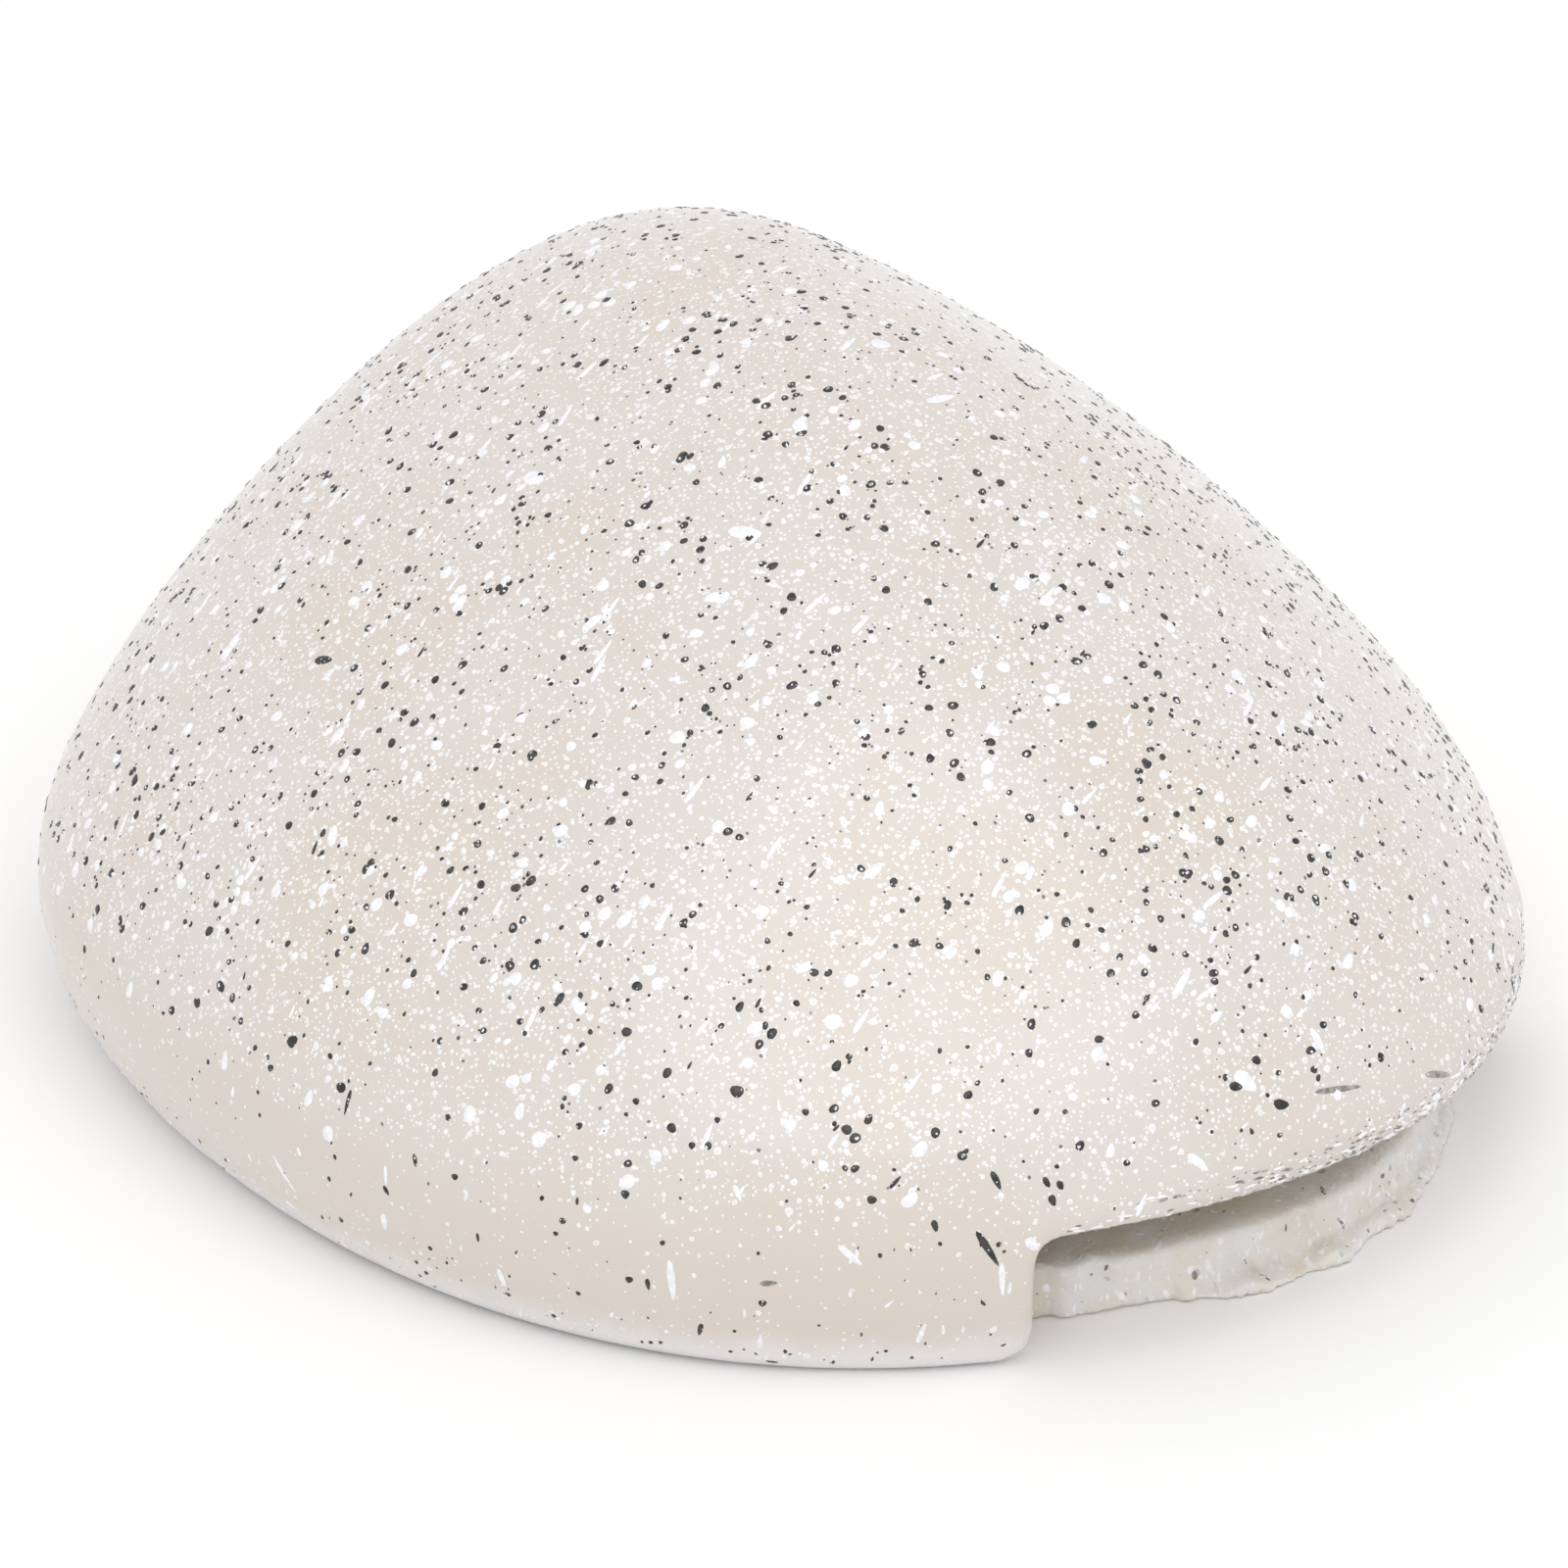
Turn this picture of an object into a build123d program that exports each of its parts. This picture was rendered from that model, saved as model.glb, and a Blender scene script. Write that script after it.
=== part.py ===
"""A cast resin rock that hides a spare key.

The rock is a hollow pebble that lifts off a base of the same plan. The base fills the open
underside of the rock and holds the key in a well. A notch through the rim at the front right
lets a finger in under the rock, onto a groove in the base.

Millimetres, +Z up. The origin is on the ground, under the middle of the rock's plan box.
"""

import os
from math import cos, pi, radians, sin, sqrt

from build123d import *

os.makedirs("parts", exist_ok=True)

# ---------------------------------------------------------------- the pebble's outer form
rock_height = 51.0  # ground to crown
belly_height = 11.5  # height of the widest line round the rock
plan_turn = 27.0  # degrees from +X to the plan's own right-hand direction
plan_fullness = 2.2  # 2 is an ellipse, more is squarer

reach_right = 45.5  # from under the crown to the belly line, along the plan's own directions
reach_back = 41.5
reach_left = 61.0
reach_front = 67.0

tuck_right = 4.5  # how far the rim's foot is tucked in under the belly line
tuck_back = 4.5
tuck_left = 5.0
tuck_front = 3.0

shoulder_right = 8.5  # how long each side stays steep above the belly line
shoulder_back = 18.0
shoulder_left = 13.5
shoulder_front = 13.0

crown_right = 14.0  # how far the crown runs level before each side falls away
crown_back = 49.0
crown_left = 16.0
crown_front = 25.0

# ---------------------------------------------------------------- the hollow of the rock
rim_width = 4.2  # flat ring that the rock stands on
socket_draft = 0.6  # the socket for the base narrows by this much from mouth to ledge
socket_depth = 12.5  # ground to the ledge that stops the base
ledge_width = 3.0
side_wall = 5.0  # wall of the hollow above the ledge, measured level
roof_wall = 6.0  # the same wall, measured upright
crown_wall = 12.0  # from the flat roof of the hollow up to the crown
roof_fillet = 2.5
edge_round = 0.5  # worn edges, where the outer form meets the foot and the notch

# ---------------------------------------------------------------- the finger notch
notch_left_x = 18.0  # the upright cut in the front of the rim
notch_back_y = -8.0  # the upright cut in the right side of the rim
notch_height = 11.7
notch_corner = 2.2  # inside corners at the top of the notch
notch_foot = 3.0  # rounded foot where the rim ends at the notch

# ---------------------------------------------------------------- the base
base_clearance = 0.4  # between the base and the rock, at the sides
base_lid_gap = 0.3  # between the top of the base and the ledge
base_top_round = 0.8
groove_floor = 4.4  # height of the edge that is left in front of the finger groove
groove_depth = 8.5  # from the base's edge in to the back of the groove
groove_cove = 5.0  # radius of the hollow at the back of the groove
groove_overrun = 6.0  # the groove runs this far past each end of the notch
toe_inset = 0.8  # the flash at the foot of the base runs out to this far inside the rock's foot
toe_height = 1.6
toe_round = 0.6
toe_start = (20.0, -44.9)  # the flash leaves the edge of the base here
toe_spread = (42.0, -38.6)  # and has its full width from here on
toe_end_gap = 1.0  # from the flash to the right-hand end of the notch

well_length = 64.0
well_width = 30.0
well_corner = 6.0
well_floor = 3.5
well_x = 0.0
well_y = 4.0

pad_thickness = 2.0
pad_clearance = 0.3
pad_edge_round = 0.6

# ---------------------------------------------------------------- the magnetic catch
boss_diameter = 13.0
boss_angles = (60.0, 150.0, 240.0)  # round the crown, from +X
boss_wall_bite = 2.0  # how far each boss runs into the side of the hollow
magnet_diameter = 8.0
magnet_thickness = 3.0
disc_diameter = 10.0
disc_thickness = 1.5
glue_gap = 0.1
edge_break = 0.3  # small bevel on the magnets and discs

# ---------------------------------------------------------------- how finely it is drawn
plan_points = 24
stations_below_belly = 4
stations_above_belly = 7
hollow_stations = 5

quarter = pi / 2
sides = {
    "right": (reach_right, tuck_right, shoulder_right, crown_right),
    "back": (reach_back, tuck_back, shoulder_back, crown_back),
    "left": (reach_left, tuck_left, shoulder_left, crown_left),
    "front": (reach_front, tuck_front, shoulder_front, crown_front),
}
hollow_top = rock_height - crown_wall
base_height = socket_depth - base_lid_gap
far = reach_left + reach_front + reach_right + reach_back  # well outside the rock


def cubic(start, start_handle, end_handle, end, t):
    """A point on a cubic curve, from its two ends and the handles that steer it."""
    u = 1 - t
    return u**3 * start + 3 * u * u * t * start_handle + 3 * u * t * t * end_handle + t**3 * end


def side_reach(side, height):
    """How far one side of the rock reaches at a height, from under the crown."""
    reach, tuck, shoulder, crown = sides[side]
    if height <= belly_height:
        drop = (belly_height - height) / belly_height
        roundness = 0.9  # stops the foot short of turning level
        return reach - tuck * (1 - sqrt(1 - roundness * drop**2)) / (1 - sqrt(1 - roundness))
    # the side climbs steadily with t, so halving finds the t of this height
    low, high = 0.0, 1.0
    for _ in range(40):
        middle = (low + high) / 2
        climb = cubic(belly_height, belly_height + shoulder, rock_height, rock_height, middle)
        low, high = (middle, high) if climb < height else (low, middle)
    return cubic(reach, reach, crown, 0.0, low)


def plan_radius(angle, height):
    """Distance from under the crown to the outer surface, at an angle in degrees from +X."""
    turned = radians(angle - plan_turn)
    across = side_reach("right" if cos(turned) >= 0 else "left", height)
    along = side_reach("back" if sin(turned) >= 0 else "front", height)
    power = plan_fullness
    shrink = (abs(cos(turned)) / across) ** power + (abs(sin(turned)) / along) ** power
    return shrink ** (-1 / power)


def plan_middle():
    """The middle of the rock's plan box, measured from under the crown."""
    across, along = [], []
    for angle in range(360):
        widest = max(plan_radius(angle, station) for station in stations)
        across.append(widest * cos(radians(angle)))
        along.append(widest * sin(radians(angle)))
    return (min(across) + max(across)) / 2, (min(along) + max(along)) / 2


# level stations of the outer form, closer together at the foot and at the crown
crown_rise = rock_height - belly_height
stations = []
for step in range(stations_below_belly):
    stations.append(belly_height * (1 - cos(quarter * step / stations_below_belly)))
for step in range(stations_above_belly):
    stations.append(belly_height + crown_rise * sin(quarter * step / stations_above_belly))

# the hub is the upright line through the crown
middle_x, middle_y = plan_middle()
hub_x, hub_y = -middle_x, -middle_y


def polar(angle, radius):
    """A point at an angle and a distance from the hub."""
    return (hub_x + radius * cos(radians(angle)), hub_y + radius * sin(radians(angle)))


def plan_section(height, form_height, inset):
    """A level face: the rock's plan at form_height, drawn in by inset, placed at height."""
    with BuildSketch(Plane.XY.offset(height)) as section:
        with BuildLine():
            points = []
            for step in range(plan_points):
                angle = plan_turn + 360 * step / plan_points
                points.append(polar(angle, plan_radius(angle, form_height) - inset))
            Spline(*points, periodic=True)
        make_face()
    return section.sketch


# ---------------------------------------------------------------- the pebble, solid
with BuildPart() as pebble:
    rings = [plan_section(station, station, 0) for station in stations]
    loft(sections=[*rings, Vertex(hub_x, hub_y, rock_height)])

# ---------------------------------------------------------------- the socket for the base
with BuildPart() as socket:
    mouth = plan_section(0, 0, rim_width)
    loft(sections=[mouth, plan_section(socket_depth, 0, rim_width + socket_draft)])

# ---------------------------------------------------------------- the magnet seats
boss_radius = boss_diameter / 2
hollow_mouth_inset = rim_width + socket_draft + ledge_width
seats = []
for angle in boss_angles:
    hollow_edge = plan_radius(angle, 0) - hollow_mouth_inset
    seats.append(polar(angle, hollow_edge - boss_radius + boss_wall_bite))

# ---------------------------------------------------------------- the hollow over the base
# Its side follows the rock's, one wall further in, and it narrows all the way up so that the
# core pulls out of the casting.
with BuildPart() as hollow:
    rings = [plan_section(socket_depth, 0, hollow_mouth_inset)]
    for step in range(1, hollow_stations + 1):
        station = socket_depth + (hollow_top - socket_depth) * step / hollow_stations
        rings.append(plan_section(station, station + roof_wall, side_wall))
    loft(sections=rings)
    fillet(hollow.faces().sort_by(Axis.Z)[-1].edges(), roof_fillet)
    with BuildSketch(Plane.XY.offset(socket_depth)):
        with Locations(*seats):
            Circle(boss_radius)
    extrude(amount=hollow_top, mode=Mode.SUBTRACT)

# ---------------------------------------------------------------- the notch, as it is cut
with BuildPart() as notch:
    with BuildSketch(Plane.XZ):
        with BuildLine():
            Polyline(
                (notch_left_x - notch_foot, 0),
                (notch_left_x - notch_foot, -notch_foot),
                (far, -notch_foot),
                (far, notch_height),
                (notch_left_x + notch_corner, notch_height),
            )
            RadiusArc(
                (notch_left_x + notch_corner, notch_height),
                (notch_left_x, notch_height - notch_corner),
                -notch_corner,
            )
            Line((notch_left_x, notch_height - notch_corner), (notch_left_x, notch_foot))
            RadiusArc((notch_left_x, notch_foot), (notch_left_x - notch_foot, 0), notch_foot)
        make_face()
    extrude(amount=far, both=True)
    with BuildSketch(Plane.YZ):
        with BuildLine():
            Polyline(
                (notch_back_y + notch_foot, 0),
                (notch_back_y + notch_foot, -notch_foot),
                (-far, -notch_foot),
                (-far, notch_height),
                (notch_back_y - notch_corner, notch_height),
            )
            RadiusArc(
                (notch_back_y - notch_corner, notch_height),
                (notch_back_y, notch_height - notch_corner),
                notch_corner,
            )
            Line((notch_back_y, notch_height - notch_corner), (notch_back_y, notch_foot))
            RadiusArc((notch_back_y, notch_foot), (notch_back_y + notch_foot, 0), -notch_foot)
        make_face()
    extrude(amount=far, both=True, mode=Mode.INTERSECT)

# ---------------------------------------------------------------- rock_shell
with BuildPart() as rock_shell:
    add(pebble.part)
    add(socket.part, mode=Mode.SUBTRACT)
    add(hollow.part, mode=Mode.SUBTRACT)
    add(notch.part, mode=Mode.SUBTRACT)
    with BuildSketch(Plane.XY.offset(socket_depth)):
        with Locations(*seats):
            Circle(magnet_diameter / 2 + glue_gap)
    extrude(amount=magnet_thickness, mode=Mode.SUBTRACT)
    outer_form = rock_shell.faces().sort_by(SortBy.AREA)[-1]
    fillet(outer_form.edges(), edge_round)
rock_shell.part.label = "rock_shell"
export_step(rock_shell.part, "parts/rock_shell.step")

# ---------------------------------------------------------------- the finger groove, as it is cut
notch_front = (notch_left_x - groove_overrun, -far)
notch_side = (far, notch_back_y + groove_overrun)
base_inset = rim_width + base_clearance
with BuildPart() as groove:
    with BuildSketch(Plane.XY.offset(groove_floor)):
        with BuildLine():
            Polyline(
                (notch_front[0], notch_side[1]),
                notch_front,
                (far, -far),
                notch_side,
                close=True,
            )
        make_face()
    extrude(amount=rock_height)
    groove_back = plan_section(groove_floor, 0, base_inset + groove_depth)
    extrude(groove_back, amount=rock_height, mode=Mode.SUBTRACT)
    back_edges = groove.faces().sort_by(Axis.Z)[0].edges().filter_by(GeomType.BSPLINE)
    fillet(back_edges, groove_cove)

# ---------------------------------------------------------------- the flash under the notch
toe_back_y = notch_back_y - toe_end_gap
with BuildPart() as toe:
    extrude(plan_section(0, 0, toe_inset), amount=toe_height)
    with BuildSketch():
        with BuildLine():
            Polyline(
                (toe_start[0], toe_back_y),
                toe_start,
                toe_spread,
                (far, -far),
                (far, toe_back_y),
                close=True,
            )
        make_face()
    extrude(amount=toe_height, mode=Mode.INTERSECT)
    fillet(toe.faces().sort_by(Axis.Z)[-1].edges().filter_by(GeomType.BSPLINE), toe_round)

# ---------------------------------------------------------------- key_base
with BuildPart() as key_base:
    foot = plan_section(0, 0, base_inset)
    loft(sections=[foot, plan_section(base_height, 0, base_inset + socket_draft)])
    fillet(key_base.faces().sort_by(Axis.Z)[-1].edges(), base_top_round)
    add(groove.part, mode=Mode.SUBTRACT)
    add(toe.part)
    with BuildSketch(Plane.XY.offset(base_height)):
        with Locations((well_x, well_y)):
            RectangleRounded(well_length, well_width, well_corner)
    extrude(amount=well_floor - base_height, mode=Mode.SUBTRACT)
    with BuildSketch(Plane.XY.offset(base_height)):
        with Locations(*seats):
            Circle(disc_diameter / 2 + glue_gap)
    extrude(amount=-disc_thickness, mode=Mode.SUBTRACT)
key_base.part.label = "key_base"
export_step(key_base.part, "parts/key_base.step")

# ---------------------------------------------------------------- key_pad
with BuildPart() as key_pad:
    with BuildSketch(Plane.XY.offset(well_floor)):
        with Locations((well_x, well_y)):
            RectangleRounded(
                well_length - 2 * pad_clearance,
                well_width - 2 * pad_clearance,
                well_corner - pad_clearance,
            )
    extrude(amount=pad_thickness)
    fillet(key_pad.faces().sort_by(Axis.Z)[-1].edges(), pad_edge_round)
key_pad.part.label = "key_pad"
export_step(key_pad.part, "parts/key_pad.step")

# ---------------------------------------------------------------- shell_magnet_1 to 3
for number, seat in enumerate(seats, start=1):
    with BuildPart() as shell_magnet:
        with BuildSketch(Plane.XY.offset(socket_depth)):
            with Locations(seat):
                Circle(magnet_diameter / 2)
        extrude(amount=magnet_thickness)
        chamfer(shell_magnet.edges().filter_by(GeomType.CIRCLE), edge_break)
    shell_magnet.part.label = f"shell_magnet_{number}"
    export_step(shell_magnet.part, f"parts/shell_magnet_{number}.step")

# ---------------------------------------------------------------- base_disc_1 to 3
for number, seat in enumerate(seats, start=1):
    with BuildPart() as base_disc:
        with BuildSketch(Plane.XY.offset(base_height)):
            with Locations(seat):
                Circle(disc_diameter / 2)
        extrude(amount=-disc_thickness)
        chamfer(base_disc.edges().filter_by(GeomType.CIRCLE), edge_break)
    base_disc.part.label = f"base_disc_{number}"
    export_step(base_disc.part, f"parts/base_disc_{number}.step")
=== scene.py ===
# %% [markdown]
# # A rock that hides a spare key
#
# This lesson dresses a small garden rock made of cast resin. The rock is a hollow casting with
# a glossy coat and thousands of droplets of white and black paint. It lifts off a base, cast in
# the same resin, that holds a soft pad for the key.
#
# The solid parts were made in CAD, and they come in as a fixed frame. Everything here is in
# metres, and it is added around that frame or stands for one of its parts.

# %% Load the frame
import math

import bpy
import bmesh
import numpy as np
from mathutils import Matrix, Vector, noise
from mathutils.bvhtree import BVHTree


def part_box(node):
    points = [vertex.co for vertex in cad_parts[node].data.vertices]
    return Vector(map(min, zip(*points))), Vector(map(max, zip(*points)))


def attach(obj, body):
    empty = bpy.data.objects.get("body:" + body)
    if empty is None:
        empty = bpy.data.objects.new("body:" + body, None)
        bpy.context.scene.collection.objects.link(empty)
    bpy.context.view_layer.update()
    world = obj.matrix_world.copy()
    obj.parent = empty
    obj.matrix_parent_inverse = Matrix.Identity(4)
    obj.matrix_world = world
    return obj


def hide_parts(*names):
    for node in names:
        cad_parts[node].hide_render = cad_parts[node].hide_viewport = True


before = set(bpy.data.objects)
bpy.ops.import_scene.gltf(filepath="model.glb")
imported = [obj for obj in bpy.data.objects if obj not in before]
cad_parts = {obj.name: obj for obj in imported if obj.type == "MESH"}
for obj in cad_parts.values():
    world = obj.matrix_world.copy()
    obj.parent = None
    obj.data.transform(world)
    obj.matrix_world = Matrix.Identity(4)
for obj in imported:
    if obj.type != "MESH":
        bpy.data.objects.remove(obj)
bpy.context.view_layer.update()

MM = 0.001

# %% [markdown]
# ## Camera
#
# The photograph looks down on the front of the rock by about 30 degrees, from far away, so
# the camera has a long lens. The distance and the lens came from fitting the rock's outline
# to the photograph. The camera aims a little in front of the rock's middle, which puts the
# rock where it is in the photograph without any lens shift.

# %% Camera at the photograph's angle
PHOTO_SIDE = 1600  # the photograph is square, in pixels
CAMERA_ELEVATION = math.radians(30)
CAMERA_DISTANCE = 0.62
CAMERA_TARGET = Vector((0.00065, -0.00775, 0.022))
SENSOR = 36.0
PIXELS_PER_METRE = 1542 / 0.1108  # at the target, from the width of the rock

camera_back = Vector((0, -math.cos(CAMERA_ELEVATION), math.sin(CAMERA_ELEVATION)))
camera_data = bpy.data.cameras.new("photo_camera")
camera_data.sensor_width = SENSOR
camera_data.lens = SENSOR * PIXELS_PER_METRE * CAMERA_DISTANCE / PHOTO_SIDE
camera_data.clip_start = 0.01
camera_data.clip_end = 30
camera = bpy.data.objects.new("photo_camera", camera_data)
camera.location = CAMERA_TARGET + CAMERA_DISTANCE * camera_back
camera.rotation_euler = (math.pi / 2 - CAMERA_ELEVATION, 0, 0)
bpy.context.scene.collection.objects.link(camera)
bpy.context.scene.camera = camera
print("lens, mm:", round(camera_data.lens, 1))


def photo_ray(pixel_x, pixel_y):
    """The line of sight through a pixel of the photograph: its start and its direction."""
    reach = CAMERA_DISTANCE * PIXELS_PER_METRE
    right = Vector((1, 0, 0))
    up = Vector((0, math.sin(CAMERA_ELEVATION), math.cos(CAMERA_ELEVATION)))
    middle = PHOTO_SIDE / 2
    aim = -camera_back * reach + right * (pixel_x - middle) - up * (pixel_y - middle)
    return camera.location.copy(), aim.normalized()


# %% [markdown]
# ## Node helpers
#
# Materials are built from shader nodes in code. Small helpers keep that short: one makes a
# node, sets it and wires its inputs, and the others do the same for the nodes used most.

# %% Node helpers
def feed(tree, node, inputs):
    """Gives a node its inputs by name or number, each as a plain value or as a link."""
    for name, value in inputs.items():
        if isinstance(value, bpy.types.NodeSocket):
            tree.links.new(value, node.inputs[name])
        else:
            node.inputs[name].default_value = value


def shader_node(tree, kind, inputs=None, **settings):
    """Adds a node with its settings and its inputs."""
    made = tree.nodes.new(kind)
    for name, value in settings.items():
        setattr(made, name, value)
    feed(tree, made, inputs or {})
    return made


def sum_node(tree, operation, *values):
    """One sum with numbers: the result of a Math node."""
    return shader_node(tree, "ShaderNodeMath", dict(enumerate(values)), operation=operation).outputs[0]


def vector_node(tree, operation, first, second):
    """One sum with vectors. To scale a vector, second is a number."""
    inputs = {"Vector": first, "Scale": second} if operation == "SCALE" else {0: first, 1: second}
    return shader_node(tree, "ShaderNodeVectorMath", inputs, operation=operation).outputs[0]


def split_node(tree, vector):
    """The X, Y and Z of a vector, as a node with those outputs."""
    return shader_node(tree, "ShaderNodeSeparateXYZ", {"Vector": vector})


def noise_node(tree, place, scale, detail=3.0, **more):
    """Soft random values over a surface, from 0 to 1."""
    inputs = {"Vector": place, "Scale": scale, "Detail": detail, **more}
    return shader_node(tree, "ShaderNodeTexNoise", inputs).outputs["Fac"]


def ramp_node(tree, value, low, high, to_low=0.0, to_high=1.0, smooth=True):
    """Turns the span low to high into the span to_low to to_high, with soft ends."""
    kind = "SMOOTHSTEP" if smooth else "LINEAR"
    inputs = {"Value": value, "From Min": low, "From Max": high, "To Min": to_low, "To Max": to_high}
    return shader_node(tree, "ShaderNodeMapRange", inputs, interpolation_type=kind).outputs[0]


def mix_colours(tree, amount, first, second):
    """first where amount is 0, second where it is 1."""
    made = shader_node(tree, "ShaderNodeMix", data_type="RGBA")
    for name, value in (("Factor", amount), ("A", first), ("B", second)):
        socket = [s for s in made.inputs if s.name == name and s.enabled][0]
        if isinstance(value, bpy.types.NodeSocket):
            tree.links.new(value, socket)
        else:
            socket.default_value = value
    return [s for s in made.outputs if s.enabled][0]


VALUE, VECTOR, COLOUR = "NodeSocketFloat", "NodeSocketVector", "NodeSocketColor"


def new_group(name, inputs, outputs):
    """An empty shader node group with named sockets, and its input and output nodes."""
    group = bpy.data.node_groups.new(name, "ShaderNodeTree")
    for title, kind, default in inputs:
        socket = group.interface.new_socket(title, in_out="INPUT", socket_type=kind)
        if default is not None:
            socket.default_value = default
    for title, kind in outputs:
        group.interface.new_socket(title, in_out="OUTPUT", socket_type=kind)
    return group, group.nodes.new("NodeGroupInput"), group.nodes.new("NodeGroupOutput")


def use_group(tree, group, **inputs):
    """Puts a node group into a material, with its inputs."""
    return shader_node(tree, "ShaderNodeGroup", inputs, node_tree=group)


# %% [markdown]
# ## Paint spatter, as a node group
#
# The rock is sprayed with droplets. A Voronoi texture scatters one point in each cell, and
# the distance to that point gives a round dot. Each cell's random colour decides whether it
# has a dot and how big the dot is, so the droplets differ as flicked paint does. A little
# noise on the coordinates keeps them from being perfect circles. The larger droplets are
# real geometry, further down, because they stand proud of the surface.

# %% Spatter group
def make_spatter_group():
    inputs = (
        ("Place", VECTOR, None),
        ("Cell", VALUE, 1.0),
        ("Radius", VALUE, 0.3),
        ("Share", VALUE, 0.5),
        ("Wobble", VALUE, 0.15),
    )
    outputs = (("Mask", VALUE), ("Ring", VALUE), ("Height", VALUE))
    group, given, result = new_group("paint_spatter", inputs, outputs)
    scale = sum_node(group, "DIVIDE", 1.0, given.outputs["Cell"])
    cells = vector_node(group, "SCALE", given.outputs["Place"], scale)
    noise_of_cells = {"Vector": cells, "Scale": 2.3, "Detail": 1.0}
    nudge = shader_node(group, "ShaderNodeTexNoise", noise_of_cells).outputs["Color"]
    nudge = vector_node(group, "SUBTRACT", nudge, (0.5, 0.5, 0.5))
    nudge = vector_node(group, "SCALE", nudge, given.outputs["Wobble"])
    bent = vector_node(group, "ADD", cells, nudge)
    dots = shader_node(group, "ShaderNodeTexVoronoi", {"Vector": bent, "Scale": 1.0})
    chance = shader_node(group, "ShaderNodeSeparateColor", {"Color": dots.outputs["Color"]})
    size = sum_node(group, "MULTIPLY_ADD", chance.outputs["Green"], 0.5, 0.5)
    edge = sum_node(group, "MULTIPLY", size, given.outputs["Radius"])
    there = sum_node(group, "LESS_THAN", chance.outputs["Red"], given.outputs["Share"])
    core = sum_node(group, "MULTIPLY", edge, 0.72)
    disc = ramp_node(group, dots.outputs["Distance"], core, edge, 1.0, 0.0)
    mask = sum_node(group, "MULTIPLY", disc, there)
    middle = sum_node(group, "MULTIPLY", edge, 0.3)
    hollow = ramp_node(group, dots.outputs["Distance"], middle, core)
    dome = ramp_node(group, dots.outputs["Distance"], 0.0, edge, 1.0, 0.0)
    ring = sum_node(group, "MULTIPLY", mask, hollow)
    height = sum_node(group, "MULTIPLY", dome, there)
    feed(group, result, {"Mask": mask, "Ring": ring, "Height": height})
    return group


spatter = make_spatter_group()
print("group:", spatter.name)

# %% [markdown]
# ## Cast resin, as node groups
#
# Resin loaded with stone powder isn't one even colour: it has slow, cloudy patches, warmer
# and cooler. The second group gives the small pits that air bubbles leave in a casting.

# %% Mottle and pit groups
def make_mottle_group():
    inputs = (
        ("Place", VECTOR, None),
        ("Patch", VALUE, 15.0),
        ("Light", COLOUR, None),
        ("Warm", COLOUR, None),
    )
    group, given, result = new_group("resin_mottle", inputs, (("Color", COLOUR),))
    scale = sum_node(group, "DIVIDE", 1.0, given.outputs["Patch"])
    clouds = noise_node(group, given.outputs["Place"], scale, 4.0, Roughness=0.55)
    amount = ramp_node(group, clouds, 0.36, 0.68)
    colour = mix_colours(group, amount, given.outputs["Light"], given.outputs["Warm"])
    feed(group, result, {"Color": colour})
    return group


def make_pits_group():
    inputs = (
        ("Place", VECTOR, None),
        ("Pit", VALUE, 1.0),
        ("Grain", VALUE, 0.5),
    )
    outputs = (("Mask", VALUE), ("Height", VALUE))
    group, given, result = new_group("cast_pits", inputs, outputs)
    scale = sum_node(group, "DIVIDE", 1.0, given.outputs["Pit"])
    holes = shader_node(group, "ShaderNodeTexVoronoi", {"Vector": given.outputs["Place"], "Scale": scale})
    chance = shader_node(group, "ShaderNodeSeparateColor", {"Color": holes.outputs["Color"]})
    there = sum_node(group, "LESS_THAN", chance.outputs["Red"], 0.12)
    reach = ramp_node(group, chance.outputs["Green"], 0.0, 1.0, 0.12, 0.34)
    how_far = sum_node(group, "DIVIDE", holes.outputs["Distance"], reach)
    hole = ramp_node(group, how_far, 0.3, 1.0, 1.0, 0.0)
    mask = sum_node(group, "MULTIPLY", hole, there)
    fine = sum_node(group, "MULTIPLY", scale, 3.0)
    grain = noise_node(group, given.outputs["Place"], fine, 5.0, Roughness=0.6)
    rough = sum_node(group, "MULTIPLY", grain, given.outputs["Grain"])
    height = sum_node(group, "SUBTRACT", rough, mask)
    feed(group, result, {"Mask": mask, "Height": height})
    return group


mottle = make_mottle_group()
pits = make_pits_group()
print("groups:", mottle.name, pits.name)

# %% [markdown]
# ## The sprayed coat of the rock
#
# The coat is cream resin under a clear gloss, with fine spatter in four sizes. The spray
# came from above, so the droplets are dense on what faces up and sparse on the side walls.
# Along the foot of the rim the cream is thin and greyish, and it is painted paler there than
# the rest: painted light against the shade near the floor. The bump follows the droplets.

# %% Speckled coat material
CREAM = (0.685, 0.643, 0.603, 1)
WARM_CREAM = (0.675, 0.605, 0.54, 1)
WHITE_PAINT = (0.93, 0.93, 0.95, 1)
BLACK_PAINT = (0.035, 0.033, 0.03, 1)
RIM_PALE_GREY_PAINTED_LIGHT = (0.82, 0.81, 0.81, 1)
LIP_GREY = (0.5, 0.49, 0.475, 1)


def new_material(name):
    """A material with a Principled shader: the material, its nodes and that shader."""
    material = bpy.data.materials.new(name)
    material.use_nodes = True
    tree = material.node_tree
    tree.nodes.clear()
    shader = tree.nodes.new("ShaderNodeBsdfPrincipled")
    output = tree.nodes.new("ShaderNodeOutputMaterial")
    tree.links.new(shader.outputs[0], output.inputs["Surface"])
    return material, tree, shader


def place_in_mm(tree, squash_z=1.0):
    """Places on the object in millimetres. Below 1, squash_z draws patterns out upright."""
    coords = tree.nodes.new("ShaderNodeTexCoord").outputs["Object"]
    return vector_node(tree, "MULTIPLY", coords, (1 / MM, 1 / MM, squash_z / MM))


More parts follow.
